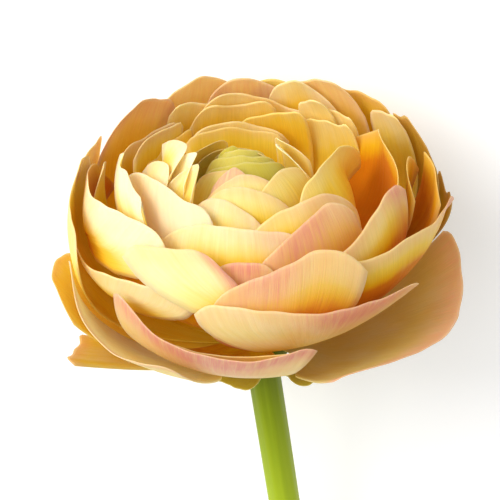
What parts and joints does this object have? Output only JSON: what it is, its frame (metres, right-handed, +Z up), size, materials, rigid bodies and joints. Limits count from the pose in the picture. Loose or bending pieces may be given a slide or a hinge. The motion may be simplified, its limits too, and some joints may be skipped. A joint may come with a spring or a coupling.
{
  "type": "ranunculus flower",
  "caption": "Double ranunculus bloom with tightly nested yellow and orange petals on a short cut stem, lying on its side.",
  "frame": {"origin": "on the floor, under the middle of the flower's box as it lies", "axes": "+Z up from the floor; +Y from the cut end of the stem to the face of the bloom; +X to the right seen from the stem end"},
  "size_m": [0.0762, 0.1674, 0.0748],
  "materials": {
    "guard_petal": "satin",
    "bowl_petal": "satin",
    "back_petal": "satin",
    "bud_petal": "satin",
    "heart_petal": "satin",
    "sepal": "matte",
    "receptacle": "matte",
    "carpels": "matte",
    "stem": "satin"
  },
  "bodies": {
    "root": {"back_centre": "back_petal", "back_left_pink": "back_petal", "back_left_tan": "back_petal", "back_right_brown": "back_petal", "back_right_outer": "back_petal", "back_right_pale": "back_petal", "back_right_pink": "back_petal", "back_striped": "back_petal", "blush_front_left": "bowl_petal", "bowl_front": "bowl_petal", "bowl_front_inner": "bowl_petal", "bud_front_low": "bud_petal", "bud_front_middle": "bud_petal", "bud_front_top": "bud_petal", "bud_left_inner": "bud_petal", "bud_left_low": "bud_petal", "bud_left_tall": "bud_petal", "bud_pale": "bud_petal", "bud_pink": "bud_petal", "bud_right": "bud_petal", "carpels": "carpels", "coral_front": "bowl_petal", "cream_front": "bowl_petal", "cream_right": "bowl_petal", "cup_right": "bowl_petal", "gold_back_left": "back_petal", "gold_back_right": "back_petal", "gold_back_wide": "back_petal", "guard_back_left": "guard_petal", "guard_back_right": "guard_petal", "guard_folded": "guard_petal", "guard_left": "guard_petal", "guard_right": "guard_petal", "heart_back": "heart_petal", "heart_front": "heart_petal", "heart_left": "heart_petal", "lip_left": "bowl_petal", "pale_left": "bowl_petal", "pale_right": "bowl_petal", "patch_front": "bowl_petal", "peach_left": "back_petal", "receptacle": "receptacle", "saucer_front": "bowl_petal", "saucer_left": "bowl_petal", "sepal_1": "sepal", "sepal_2": "sepal", "sepal_3": "sepal", "sepal_4": "sepal", "sepal_5": "sepal", "shell_right": "bowl_petal", "side_left": "back_petal", "side_right": "back_petal", "slip_right_inner": "back_petal", "slip_right_outer": "back_petal", "stem": "stem", "thin_back": "back_petal", "thin_back_left": "back_petal", "wedge_left": "bowl_petal", "wing_right": "bowl_petal", "yellow_back_fold": "back_petal"}
  },
  "joints": []
}
